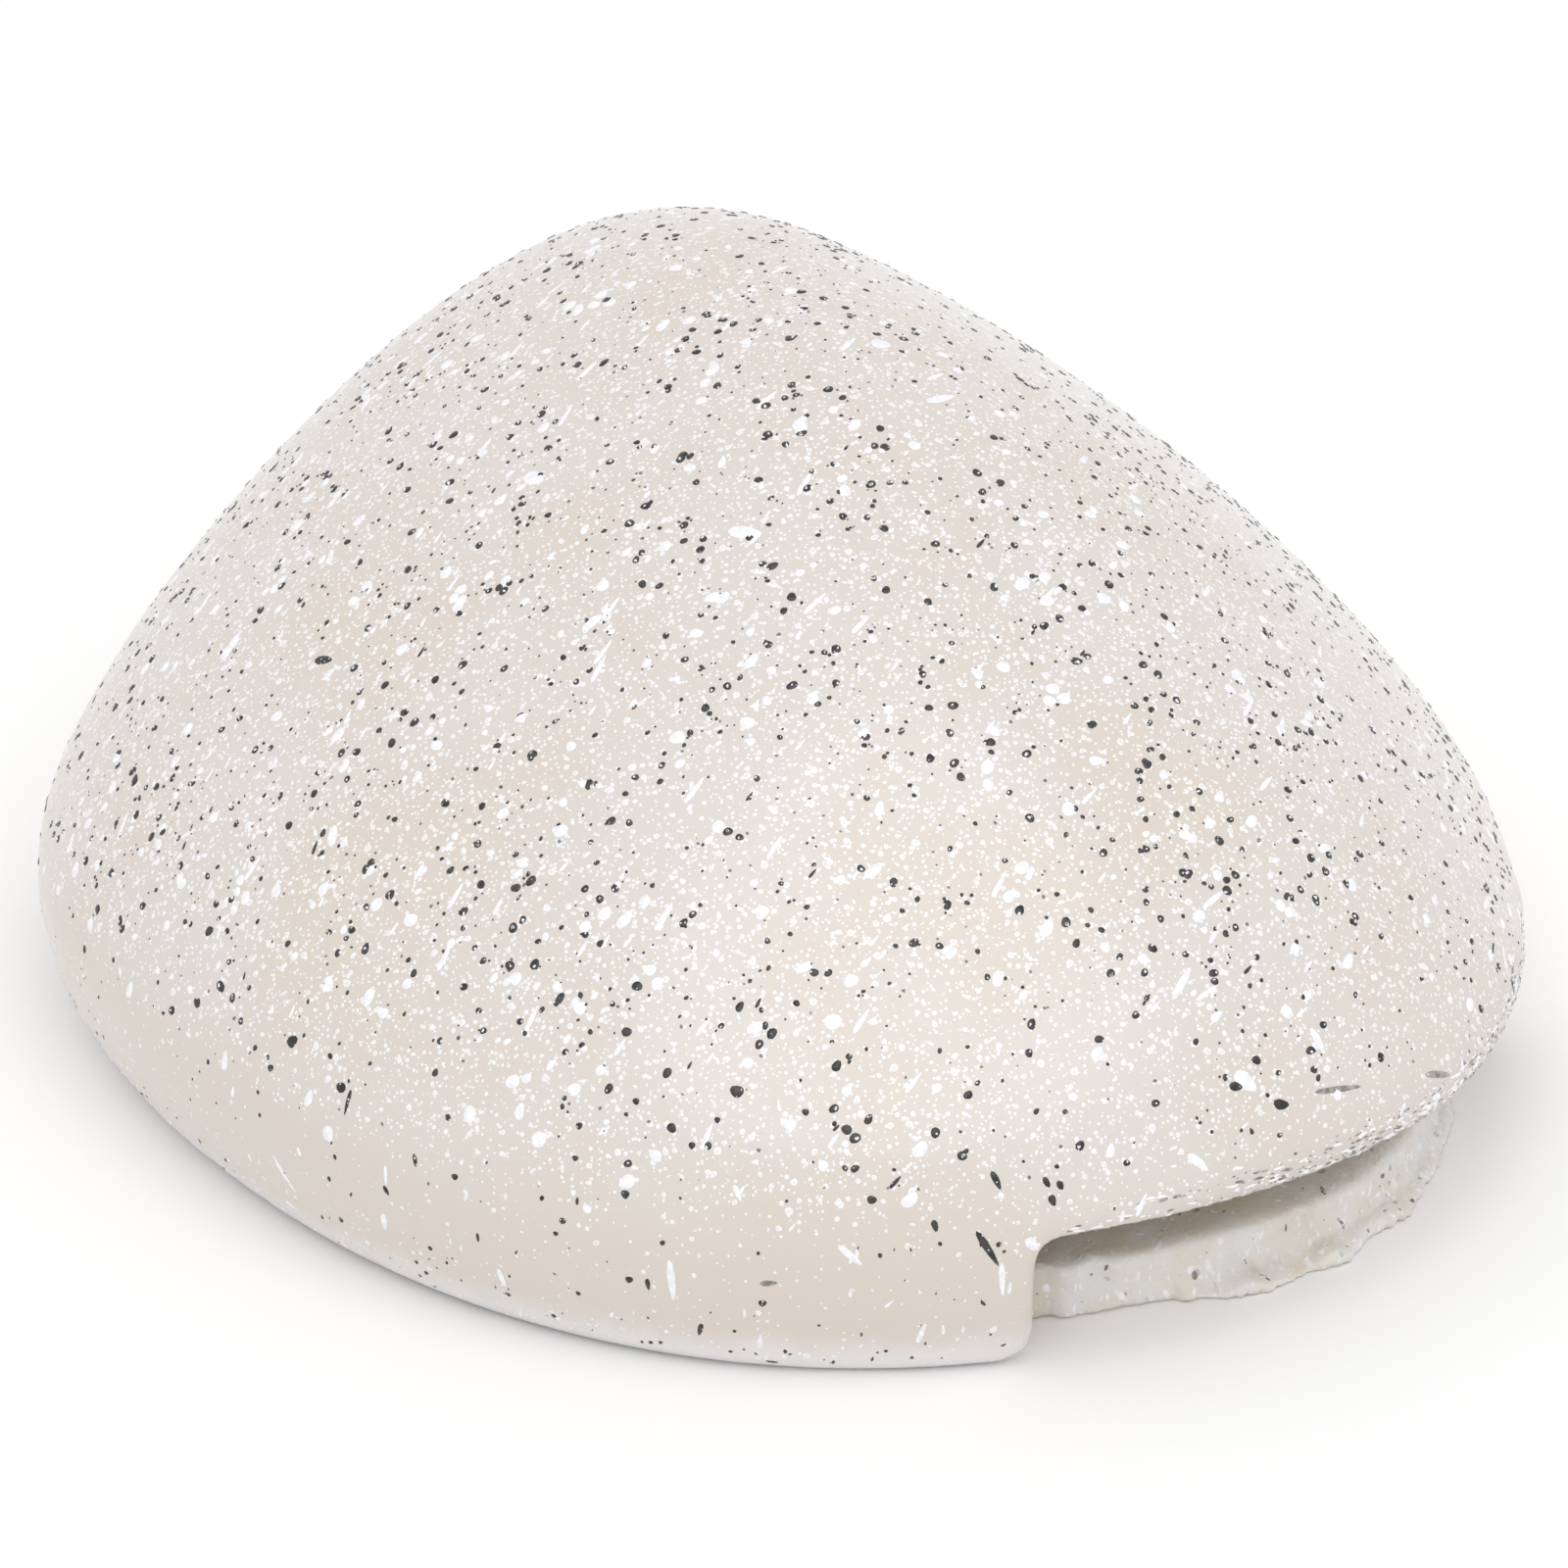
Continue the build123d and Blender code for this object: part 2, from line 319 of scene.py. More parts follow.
def facing_up(tree):
    """1 on level surfaces, 0 on upright ones and on what faces down."""
    normal = tree.nodes.new("ShaderNodeNewGeometry").outputs["Normal"]
    return ramp_node(tree, split_node(tree, normal).outputs["Z"], 0.12, 0.6)


def bump_into(tree, shader, height, distance):
    """Feeds a height in millimetres to the shader's normal."""
    inputs = {"Height": height, "Distance": distance * MM, "Strength": 1.0}
    feed(tree, shader, {"Normal": shader_node(tree, "ShaderNodeBump", inputs).outputs[0]})


def paint_over(tree, colour, mask, strength, paint):
    """Mixes paint over a colour, where a mask is 1, with that strength."""
    return mix_colours(tree, sum_node(tree, "MULTIPLY", mask, strength), colour, paint)


# cell and dot radius in mm and as a share of the cell, share of cells with a dot on sides and on top
WHITE_SPATTER = ((0.4, 0.37, 0.12, 0.95), (0.66, 0.36, 0.1, 0.95), (1.2, 0.29, 0.05, 0.75))


def make_coat():
    material, tree, shader = new_material("speckled_coat")
    place = place_in_mm(tree)
    parts = split_node(tree, place)
    up = facing_up(tree)

    colour = use_group(tree, mottle, Place=place, Patch=16.0, Light=CREAM, Warm=WARM_CREAM).outputs[0]
    # The walls that don't face up are mixed warmer than the top: painted warm bounce light.
    painted_warm_bounce = mix_colours(tree, 0.55, colour, WARM_CREAM)
    colour = mix_colours(tree, up, painted_warm_bounce, colour)
    ragged = noise_node(tree, place, 0.35)
    band_edge = sum_node(tree, "MULTIPLY_ADD", ragged, 2.4, parts.outputs["Z"])
    # Towards the foot the colour turns a pale grey, paler than the cream: partly the thin greyish coat,
    # partly painted light against the shade near the floor.
    colour = mix_colours(tree, ramp_node(tree, band_edge, 2.0, 6.4, 0.9, 0.0), colour, RIM_PALE_GREY_PAINTED_LIGHT)

    # Just above the lip on the right the colour is mixed towards grey: partly grey paint streaks, partly
    # painted shade.
    near_lip = ramp_node(tree, parts.outputs["Z"], 11.5, 16.0, 0.55, 0.0)
    to_right = ramp_node(tree, parts.outputs["X"], 20.0, 38.0)
    at_front = ramp_node(tree, parts.outputs["Y"], -12.0, -6.0, 1.0, 0.0)
    lip_streaks_and_shade = sum_node(tree, "MULTIPLY", sum_node(tree, "MULTIPLY", near_lip, to_right), at_front)
    colour = paint_over(tree, colour, lip_streaks_and_shade, ragged, LIP_GREY)

    heights = []
    for step, (cell, radius, on_sides, on_top) in enumerate(WHITE_SPATTER):
        where = vector_node(tree, "ADD", place, (17.0 * step, 5.0, 9.0))
        share = ramp_node(tree, up, 0.0, 1.0, on_sides, on_top, smooth=False)
        dots = use_group(tree, spatter, Place=where, Cell=cell, Radius=radius, Share=share, Wobble=0.2)
        solid = sum_node(tree, "MULTIPLY_ADD", dots.outputs["Ring"], 0.4, 0.55)
        colour = paint_over(tree, colour, dots.outputs["Mask"], solid, WHITE_PAINT)
        if step > 0:  # the finest mist is too thin to feel
            heights.append(sum_node(tree, "MULTIPLY", dots.outputs["Height"], cell))
    share = ramp_node(tree, up, 0.0, 1.0, 0.03, 0.3, smooth=False)
    specks = use_group(tree, spatter, Place=place, Cell=1.1, Radius=0.16, Share=share, Wobble=0.25)
    colour = paint_over(tree, colour, specks.outputs["Mask"], 0.8, BLACK_PAINT)

    skin = noise_node(tree, place, 0.9)
    relief = sum_node(tree, "MULTIPLY_ADD", skin, 0.25, sum_node(tree, "ADD", *heights))
    bump_into(tree, shader, relief, 0.05)
    roughness = ramp_node(tree, skin, 0.3, 0.7, 0.3, 0.4)
    gloss = {"Roughness": roughness, "Coat Weight": 0.45, "Coat Roughness": 0.12}
    feed(tree, shader, {"Base Color": colour, **gloss})
    return material


coat = make_coat()
print("material:", coat.name)

# %% [markdown]
# ## Raw resin
#
# Inside the rock, and over the base, the resin is bare: paler, dull and pitted by air
# bubbles. The edge of the base that shows in the notch caught the overspray, so it has its
# own finish: greyer, rough, and dense with small white specks towards the ground. It is also
# painted paler than the bare resin, which is painted light against the shade under the rock.
# Towards both ends of the notch the spray thins out, and the finish fades to bare resin.

# %% Raw and oversprayed resin materials
RAW_LIGHT = (0.74, 0.7, 0.63, 1)
RAW_WARM = (0.7, 0.635, 0.54, 1)
PIT_SHADE_AND_SPECK_GREY = (0.42, 0.37, 0.3, 1)
# The edge colours are greyer and paler than the bare resin: the grey is the overspray, the paleness is
# painted light against the shade under the rock.
EDGE_PALE_PAINTED_LIGHT = (0.82, 0.815, 0.8, 1)
EDGE_WARM_PAINTED_LIGHT = (0.8, 0.745, 0.66, 1)
GROOVE_SHADE_TAN = (0.62, 0.5, 0.335, 1)


def make_raw_resin():
    material, tree, shader = new_material("raw_resin")
    place = place_in_mm(tree)
    colour = use_group(tree, mottle, Place=place, Patch=9.0, Light=RAW_LIGHT, Warm=RAW_WARM).outputs[0]
    holes = use_group(tree, pits, Place=place, Pit=1.7, Grain=0.4)
    # The bubbles' pits are painted darker: painted shade in the hollows.
    colour = paint_over(tree, colour, holes.outputs["Mask"], 0.4, PIT_SHADE_AND_SPECK_GREY)
    dull = ramp_node(tree, holes.outputs["Height"], 0.0, 0.35, 0.7, 0.52)
    feed(tree, shader, {"Base Color": colour, "Roughness": dull})
    bump_into(tree, shader, holes.outputs["Height"], 0.22)
    return material


def make_oversprayed_resin():
    material, tree, shader = new_material("oversprayed_resin")
    place = place_in_mm(tree)
    drawn_out = place_in_mm(tree, squash_z=0.5)
    parts = split_node(tree, place)
    colour = use_group(tree, mottle, Place=place, Patch=4.0, Light=EDGE_PALE_PAINTED_LIGHT, Warm=EDGE_WARM_PAINTED_LIGHT).outputs[0]
    ragged = noise_node(tree, place, 0.5)
    # Up in the groove under the lip the colour turns tan: painted warm shade under the lip.
    groove = sum_node(tree, "MULTIPLY_ADD", ragged, 1.4, parts.outputs["Z"])
    colour = mix_colours(tree, ramp_node(tree, groove, 4.8, 6.6), colour, GROOVE_SHADE_TAN)
    low = ramp_node(tree, parts.outputs["Z"], 0.5, 5.5, 1.0, 0.12)
    share = sum_node(tree, "MULTIPLY", low, 0.5)
    for cell, radius in ((0.45, 0.36), (0.95, 0.33)):
        dots = use_group(tree, spatter, Place=drawn_out, Cell=cell, Radius=radius, Share=share, Wobble=0.45)
        colour = paint_over(tree, colour, dots.outputs["Mask"], 0.85, WHITE_PAINT)
    grey = use_group(tree, spatter, Place=place, Cell=1.3, Radius=0.2, Share=0.3, Wobble=0.5)
    # Here the same colour is real grey paint, in small specks.
    colour = paint_over(tree, colour, grey.outputs["Mask"], 0.5, PIT_SHADE_AND_SPECK_GREY)

    wandering = sum_node(tree, "MULTIPLY_ADD", ragged, 3.0, -1.5)
    from_left = ramp_node(tree, sum_node(tree, "ADD", parts.outputs["X"], wandering), 17.5, 21.0)
    from_back = ramp_node(tree, sum_node(tree, "ADD", parts.outputs["Y"], wandering), -12.0, -8.5, 1.0, 0.0)
    sprayed = sum_node(tree, "MULTIPLY", from_left, from_back)
    bare = use_group(tree, mottle, Place=place, Patch=9.0, Light=RAW_LIGHT, Warm=RAW_WARM).outputs[0]
    colour = mix_colours(tree, sprayed, bare, colour)
    holes = use_group(tree, pits, Place=place, Pit=1.3, Grain=0.6)
    roughness = ramp_node(tree, holes.outputs["Height"], 0.0, 0.6, 0.5, 0.36)
    gloss = {"Roughness": roughness, "Coat Weight": 0.2, "Coat Roughness": 0.2}
    feed(tree, shader, {"Base Color": colour, **gloss})
    bump_into(tree, shader, holes.outputs["Height"], 0.2)
    return material


raw_resin = make_raw_resin()
oversprayed = make_oversprayed_resin()
print("materials:", raw_resin.name, oversprayed.name)

# %% [markdown]
# ## Even meshes from the CAD solids
#
# A casting has soft, wandering surfaces that a CAD mesh of long triangles can't hold. So the
# rock is copied, merged into one closed mesh and remeshed with small even squares. Then the
# facets are relaxed away. Points on sharp features, such as the lip of the notch, are found
# by how hard their neighbours pull on them, and they are left nearly where they are. So is
# the foot of the rock, which has to stay level.

# %% Mesh helpers
def new_piece(name, points, faces):
    """A mesh object from an array of points and an array of faces, shaded smooth."""
    mesh = bpy.data.meshes.new(name)
    mesh.from_pydata(points.tolist(), [], [list(face) for face in faces])
    mesh.polygons.foreach_set("use_smooth", [True] * len(mesh.polygons))
    mesh.update()
    piece = bpy.data.objects.new(name, mesh)
    bpy.context.scene.collection.objects.link(piece)
    return piece


REMESH_DEPTH = 8
FIRST_ROUNDS = 4  # of smoothing, all over
SHARP_RINGS = 3  # points this near to a sharp one are held too
BLEND_ROUNDS = 4  # from what is held to what is free


def even_copy(source, name, cell):
    """A closed copy of a mesh, in even squares."""
    work = bmesh.new()
    work.from_mesh(source)
    bmesh.ops.remove_doubles(work, verts=work.verts, dist=1e-6)
    mesh = bpy.data.meshes.new(name)
    work.to_mesh(mesh)
    work.free()
    piece = bpy.data.objects.new(name, mesh)
    bpy.context.scene.collection.objects.link(piece)
    remesh = piece.modifiers.new("even squares", "REMESH")
    remesh.mode = "SHARP"
    remesh.octree_depth = REMESH_DEPTH
    remesh.scale = max(piece.dimensions) / (2**REMESH_DEPTH * cell)
    remesh.use_remove_disconnected = False
    scene_state = bpy.context.evaluated_depsgraph_get()
    even = bpy.data.meshes.new_from_object(piece.evaluated_get(scene_state))
    piece.modifiers.clear()
    piece.data = even
    even.name = name
    even.materials.clear()
    even.polygons.foreach_set("use_smooth", [True] * len(even.polygons))
    return piece


def read_rows(source, name, width, kind=np.float64):
    """One value of every point, edge or face, as an array with a row for each."""
    values = np.empty(len(source) * width, dtype=kind)
    source.foreach_get(name, values)
    return values.reshape(-1, width)


def read_points(mesh):
    return read_rows(mesh.vertices, "co", 3)


def write_points(mesh, points):
    mesh.vertices.foreach_set("co", points.ravel())
    mesh.update()


def read_edges(mesh):
    return read_rows(mesh.edges, "vertices", 2, np.int64)


def read_normals(mesh):
    return read_rows(mesh.vertex_normals, "vector", 3)


def neighbour_mean(values, edges):
    """For each point, the mean of its neighbours' values."""
    first, second = edges.T
    size = len(values)
    total = np.bincount(first, values[second], size) + np.bincount(second, values[first], size)
    return total / np.bincount(edges.ravel(), minlength=size)


def neighbour_pull(points, edges):
    """For each point, the way from it to the middle of its neighbours."""
    return np.stack([neighbour_mean(side, edges) for side in points.T], axis=1) - points


def spread_marks(marks, edges, rounds):
    """Grows a set of marked points out to their neighbours."""
    first, second = edges.T
    for _ in range(rounds):
        grown = marks.copy()
        grown[first] |= marks[second]
        grown[second] |= marks[first]
        marks = grown
    return marks


def relax(piece, rounds, sharp_pull, foot=0.0):
    """Smooths a piece all over a little, then much more where it isn't sharp or in its foot."""
    points, edges = read_points(piece.data), read_edges(piece.data)
    for _ in range(FIRST_ROUNDS):
        points += 0.5 * neighbour_pull(points, edges)
    sharp = np.linalg.norm(neighbour_pull(points, edges), axis=1) > sharp_pull
    held = spread_marks(sharp | (points[:, 2] < foot), edges, SHARP_RINGS)
    free = 1.0 - held
    for _ in range(BLEND_ROUNDS):
        free = np.minimum(free, neighbour_mean(free, edges))
    for _ in range(rounds):
        points += 0.5 * free[:, None] * neighbour_pull(points, edges)
    write_points(piece.data, points)
    return int(held.sum())


# %% The rock's casting
ROCK_CELL = 0.72 * MM
rock_skin = even_copy(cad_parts["rock_shell"].data, "rock_skin", ROCK_CELL)
held_points = relax(rock_skin, rounds=40, sharp_pull=0.065 * MM, foot=0.9 * MM)
print("rock_skin:", len(rock_skin.data.polygons), "faces,", held_points, "points held")

# %% [markdown]
# The outer face gets the sprayed coat and the rest stays raw. A point is inside the casting
# if a level line from it, away from the upright under the crown, meets the casting again.

# %% Coat outside, raw resin inside
CROWN_X, CROWN_Y = 3.13 * MM, 11.91 * MM


def surface_tree(piece):
    mesh = piece.data
    faces = [tuple(polygon.vertices) for polygon in mesh.polygons]
    return BVHTree.FromPolygons([v.co.copy() for v in mesh.vertices], faces)


def outward(place):
    """The level direction from the crown's upright to a place."""
    return Vector((place.x - CROWN_X, place.y - CROWN_Y, 0)).normalized()


def mark_inside(piece, tree):
    """Gives the faces inside a hollow casting its second material."""
    inside = 0
    for polygon in piece.data.polygons:
        start = polygon.center + polygon.normal * 0.25 * MM
        under_rim = polygon.normal.z < -0.9 and polygon.center.z < 0.3 * MM
        if not under_rim and tree.ray_cast(start, outward(start))[0] is not None:
            polygon.material_index = 1
            inside += 1
    return inside


rock_skin.data.materials.append(coat)
rock_skin.data.materials.append(raw_resin)
rock_surface = surface_tree(rock_skin)
print("faces inside the rock:", mark_inside(rock_skin, rock_surface))
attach(rock_skin, "rock")
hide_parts("rock_shell")

# %% [markdown]
# ## Droplets that stand proud
#
# The larger droplets are thin domes of paint with real thickness, which catch the light at
# their edges. Each one is a small fan of points: a middle, an inner ring and a rim. The
# points are dropped onto the nearest place of the skin, so a droplet follows the curve under
# it, and its rim is sunk a little so that no gap shows.

# %% Droplet helpers
RIM_POINTS = 10
RIM_SINK = 0.02 * MM
chance = np.random.default_rng(7)


def face_table(piece):
    """Middle, normal, area and material number of every face, as arrays."""
    faces = piece.data.polygons
    middles, normals = read_rows(faces, "center", 3), read_rows(faces, "normal", 3)
    areas, slots = read_rows(faces, "area", 1), read_rows(faces, "material_index", 1, np.int64)
    return middles, normals, areas.ravel(), slots.ravel()


def dome_points(tree, centre, normal, along, length, width, thickness, taper=0.0, wobble=0.1):
    """The points of one dome of paint: its middle, inner ring and rim. A taper points one end."""
    across = normal.cross(along).normalized()
    along = across.cross(normal).normalized()
    _, bend_1, bend_2 = chance.random(3) * math.tau
    points = [centre + normal * thickness]
    rings = ((0.6, thickness * 0.8), (1.0, -RIM_SINK))
    for share, lift in rings:
        for step in range(RIM_POINTS):
            angle = math.tau * step / RIM_POINTS
            swell = 1 + wobble * (math.cos(2 * angle + bend_1) + 0.6 * math.cos(3 * angle + bend_2))
            reach_x = math.cos(angle) * length / 2
            reach_y = math.sin(angle) * width / 2 * (1 - taper * math.cos(angle))
            place = centre + share * swell * (along * reach_x + across * reach_y)
            ground, up, _, _ = tree.find_nearest(place)
            points.append(ground + up * lift)
    return points


def dome_faces(first):
    """The faces of one dome whose points start at number first."""
    faces = []
    for step in range(RIM_POINTS):
        after = (step + 1) % RIM_POINTS
        inner, inner_after = first + 1 + step, first + 1 + after
        outer, outer_after = inner + RIM_POINTS, inner_after + RIM_POINTS
        faces.append((first, inner, inner_after))
        faces.append((inner, outer, outer_after, inner_after))
    return faces


class Paint:
    """Collects domes of one paint on one surface, and makes one piece of them."""

    def __init__(self, name, material, surface):
        self.name, self.material, self.surface = name, material, surface
        self.points, self.faces = [], []

    def add(self, *place, **shape):
        """One dome: its centre, normal and long direction, and its shape."""
        first = len(self.points)
        self.points += dome_points(self.surface, *place, **shape)
        self.faces += dome_faces(first)

    def finish(self, body, slot_name):
        piece = new_piece(self.name, np.array([tuple(p) for p in self.points]), self.faces)
        piece.data.materials.append(self.material)
        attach(piece, body)
        print(self.name, "-", len(self.faces) // (2 * RIM_POINTS), "droplets")


# %% [markdown]
# Two paints. The white one is bright and a little bluish, and the black one is a warm, very
# dark grey that caught some of the white mist, which was sprayed after it. Where the two
# smeared into each other they make a grey.

# %% Paint materials
def make_white_paint():
    material, tree, shader = new_material("white_paint")
    place = place_in_mm(tree)
    uneven = noise_node(tree, place, 2.0)
    amount = ramp_node(tree, uneven, 0.35, 0.65)
    colour = mix_colours(tree, amount, (0.84, 0.85, 0.885, 1), (0.95, 0.95, 0.965, 1))
    roughness = ramp_node(tree, uneven, 0.3, 0.7, 0.22, 0.34)
    feed(tree, shader, {"Base Color": colour, "Roughness": roughness})
    bump_into(tree, shader, uneven, 0.05)
    return material


def make_dark_paint(name, dark, light):
    material, tree, shader = new_material(name)
    place = place_in_mm(tree)
    uneven = noise_node(tree, place, 1.6, 4.0)
    colour = mix_colours(tree, ramp_node(tree, uneven, 0.4, 0.62), dark, light)
    mist = use_group(tree, spatter, Place=place, Cell=0.3, Radius=0.36, Share=0.4, Wobble=0.3)
    colour = paint_over(tree, colour, mist.outputs["Mask"], 0.8, WHITE_PAINT)
    roughness = ramp_node(tree, uneven, 0.3, 0.7, 0.2, 0.35)
    feed(tree, shader, {"Base Color": colour, "Roughness": roughness})
    bump_into(tree, shader, mist.outputs["Height"], 0.04)
    return material


white_paint = make_white_paint()
black_paint = make_dark_paint("black_paint", (0.016, 0.016, 0.018, 1), (0.05, 0.047, 0.043, 1))
grey_paint = make_dark_paint("grey_paint", (0.2, 0.19, 0.18, 1), (0.4, 0.38, 0.36, 1))
print("paints:", white_paint.name, black_paint.name, grey_paint.name)

# %% [markdown]
# Each face of the rock gets a weight, which says how likely a drop is to land there. It goes
# with the face's area and with how far it faces up, and it is patchy. At the front, the drops
# thin out downwards. The side walls have a second weight, for the few small drops that
# reached them, mostly near the ground.

# %% Where the drops land
FOOT_CLEAR = 1.2 * MM

middles, normals, areas, slots = face_table(rock_skin)
outer = (slots == 0) & (middles[:, 2] > FOOT_CLEAR) & (normals[:, 2] > -0.55)
lean = np.clip((normals[:, 2] - 0.02) / 0.55, 0, 1)
patchy = np.array([noise.noise(Vector(m) / (9 * MM)) for m in middles])
on_top = areas * outer * (0.06 + 0.94 * lean**1.6) * (1 + 0.9 * np.clip(patchy, -1, 1))
at_front = np.clip(-(middles[:, 1] + 18 * MM) / (16 * MM), 0, 1)
low_band = np.clip((middles[:, 2] - 10 * MM) / (20 * MM), 0.1, 1)
on_top *= 1 - at_front * (1 - low_band)
near_foot = np.clip((6 * MM - middles[:, 2]) / (3 * MM), 0, 1)
on_walls = areas * outer * (normals[:, 2] < 0.4) * (middles[:, 2] < 15 * MM) * (0.35 + near_foot)


def landings(weights, count):
    """Picks faces by weight, and gives the normal of each and a place on the rock near it."""
    picked = chance.choice(len(weights), size=count, p=weights / weights.sum())
    jitter = (chance.random((count, 3)) - 0.5) * ROCK_CELL
    for face, shift in zip(picked, jitter):
        yield Vector(normals[face]), rock_surface.find_nearest(Vector(middles[face] + shift))[0]


print("faces that can take a drop:", int(outer.sum()))

# %% [markdown]
# The flick of the brush ran from the lower left to the upper right on the top of the rock.
# On the side walls the drops ran straight down instead.

# %% Scatter the droplets over the rock
FLICK = Vector((0.55, 0.75, 0.35)).normalized()
RUN = Vector((0.12, 0.0, 1.0)).normalized()
SPECKED = 0.45 * MM  # drops wider than this often carry a speck of the other paint

white_drops = Paint("paint_white_drops", white_paint, rock_surface)
black_drops = Paint("paint_black_drops", black_paint, rock_surface)


def drop_direction(normal, spread):
    """The way a drop is drawn out: flicked on the top, run down on the walls."""
    way = FLICK.lerp(RUN, min(1, max(0, 1.3 - 2.6 * normal.z)))
    return (way + spread * Vector(chance.normal(size=3))).normalized()


def scatter_drops(paint, weights, count, widths, skew, stretch, thickness, speck=None):
    """Adds round droplets. A higher skew makes more of them small."""
    smallest, largest = widths
    for normal, centre in landings(weights, count):
        wide = smallest + (largest - smallest) * chance.random() ** skew
        drawn = 1 + stretch * chance.random() ** 2 * (1.6 if normal.z < 0.3 else 1)
        direction = drop_direction(normal, 0.25)
        thick = thickness * (0.5 + wide / largest)
        drop = {"length": wide * drawn, "width": wide / math.sqrt(drawn), "taper": 0.35 * (drawn - 1)}
        paint.add(centre, normal, direction, thickness=thick, **drop)
        if speck and wide > SPECKED and chance.random() < 0.65:
            aside = Vector(chance.normal(size=3)) * wide * 0.13
            small = wide * (0.28 + 0.25 * chance.random())
            dot = {"length": small, "width": small * 0.8, "wobble": 0.2}
            speck.add(centre + aside, normal, direction, thickness=thick + 0.05 * MM, **dot)


scatter_drops(black_drops, on_top, 3700, (0.18 * MM, 0.86 * MM), 2.1, 0.22, 0.05 * MM, white_drops)
scatter_drops(white_drops, on_top, 2500, (0.24 * MM, 1.2 * MM), 3.2, 0.6, 0.06 * MM)
scatter_drops(black_drops, on_walls, 340, (0.14 * MM, 0.46 * MM), 2.0, 0.9, 0.04 * MM)
scatter_drops(white_drops, on_walls, 420, (0.15 * MM, 0.6 * MM), 2.4, 0.9, 0.04 * MM)
print("drops so far:", (len(white_drops.faces) + len(black_drops.faces)) // (2 * RIM_POINTS))


# %% Streaks
def scatter_streaks(paint, weights, count, lengths, thickness):
    """Adds long thin flicks of paint."""
    for normal, centre in landings(weights, count):
        long = lengths[0] + (lengths[1] - lengths[0]) * chance.random() ** 2
        streak = {"length": long, "width": 0.16 * MM + 0.12 * long, "taper": 0.4, "wobble": 0.05}
        paint.add(centre, normal, drop_direction(normal, 0.12), thickness=thickness, **streak)


scatter_streaks(white_drops, on_top, 260, (0.8 * MM, 3.0 * MM), 0.05 * MM)
scatter_streaks(black_drops, on_top, 40, (0.7 * MM, 1.6 * MM), 0.04 * MM)
scatter_streaks(white_drops, on_walls, 36, (0.8 * MM, 2.6 * MM), 0.05 * MM)
print("drops and streaks:", (len(white_drops.faces) + len(black_drops.faces)) // (2 * RIM_POINTS))

# %% [markdown]
# Some drops are easy to recognise in the photograph, mostly on the clean side wall where
# nothing hides them. They are placed by their pixels: the line of sight through the pixel
# meets the rock where the drop is.

# %% Drops placed by sight
# from pixel, to pixel, width in pixels
BLACK_MARKS = (
    ((996, 1255), (1019, 1292), 9), ((952, 1245), (956, 1257), 7), ((1012, 1196), (1021, 1213), 8),
    ((1065, 1202), (1071, 1211), 7), ((1080, 1206), (1084, 1213), 8), ((1072, 1221), (1076, 1229), 9),
    ((1256, 1108), (1267, 1109), 11), ((1301, 1127), (1314, 1127), 12), ((323, 673), (337, 674), 13),
    ((392, 1211), (396, 1219), 7), ((716, 1350), (713, 1363), 6), ((423, 1178), (424, 1190), 6),
    ((660, 1305), (662, 1316), 6), ((487, 1258), (488, 1268), 4), ((359, 1110), (351, 1139), 5),
    ((782, 1389), (794, 1390), 6),
)
# middle of a round drop and its width, in pixels
BLACK_DOTS = (
    (752, 1114, 15), (864, 1153, 12), (298, 1063, 15), (348, 1110, 13), (276, 1090, 9), (642, 1306, 9),
    (778, 1330, 9), (464, 1201, 8), (574, 1246, 8), (567, 1259, 6), (638, 1219, 10), (706, 1169, 8),
    (591, 1149, 8), (732, 1143, 7), (822, 1135, 8), (649, 1124, 8), (587, 1182, 7), (590, 1320, 6),
    (565, 1343, 6), (664, 1370, 5), (674, 1370, 5), (348, 1245, 7), (439, 1274, 6), (425, 1288, 5),
    (435, 1299, 6), (265, 1138, 5),
)
WHITE_MARKS = (
    ((1022, 1286), (1023, 1325), 7), ((1048, 1264), (1060, 1276), 14), ((1213, 1178), (1232, 1194), 11),
    ((856, 1271), (879, 1291), 9), ((683, 1282), (688, 1330), 9), ((276, 1174), (304, 1220), 6),
    ((290, 1224), (304, 1235), 5), ((391, 1238), (393, 1255), 8), ((393, 1189), (394, 1210), 5),
    ((508, 1294), (516, 1314), 7), ((749, 1209), (756, 1226), 6), ((1262, 1095), (1280, 1112), 18),
    ((1338, 1050), (1352, 1075), 10), ((1196, 1020), (1216, 986), 9), ((893, 350), (905, 352), 22),
    ((946, 410), (974, 404), 12), ((745, 542), (776, 545), 18), ((538, 486), (552, 490), 20),
)
WHITE_DOTS = (
    (550, 1163, 18), (669, 1180, 14), (807, 1148, 13), (586, 1112, 15), (592, 1029, 15), (850, 1043, 19),
    (763, 1085, 13), (864, 1114, 12), (526, 999, 15), (391, 1034, 13), (663, 990, 14), (840, 1190, 12),
    (599, 1234, 10), (585, 1217, 6), (774, 1340, 7), (823, 1384, 10),
)
GREY_MARKS = (
    ((1340, 1115), (1391, 1108), 8), ((1454, 1096), (1480, 1097), 9), ((1370, 1240), (1376, 1243), 6),
    ((776, 1310), (792, 1309), 8),
)
grey_drops = Paint("paint_grey_smears", grey_paint, rock_surface)


def place_mark(paint, start_pixel, end_pixel, wide):
    ends = []
    for pixel in (start_pixel, end_pixel):
        place = rock_surface.ray_cast(*photo_ray(*pixel))[0]
        if place is None:
            return
        ends.append(place)
    centre, normal, _, _ = rock_surface.find_nearest((ends[0] + ends[1]) / 2)
    way = ends[1] - ends[0]
    thick = wide / PIXELS_PER_METRE
    mark = {"length": way.length + thick * 0.5, "width": thick, "taper": 0.25, "wobble": 0.06}
    paint.add(centre, normal, way.normalized(), thickness=0.06 * MM, **mark)


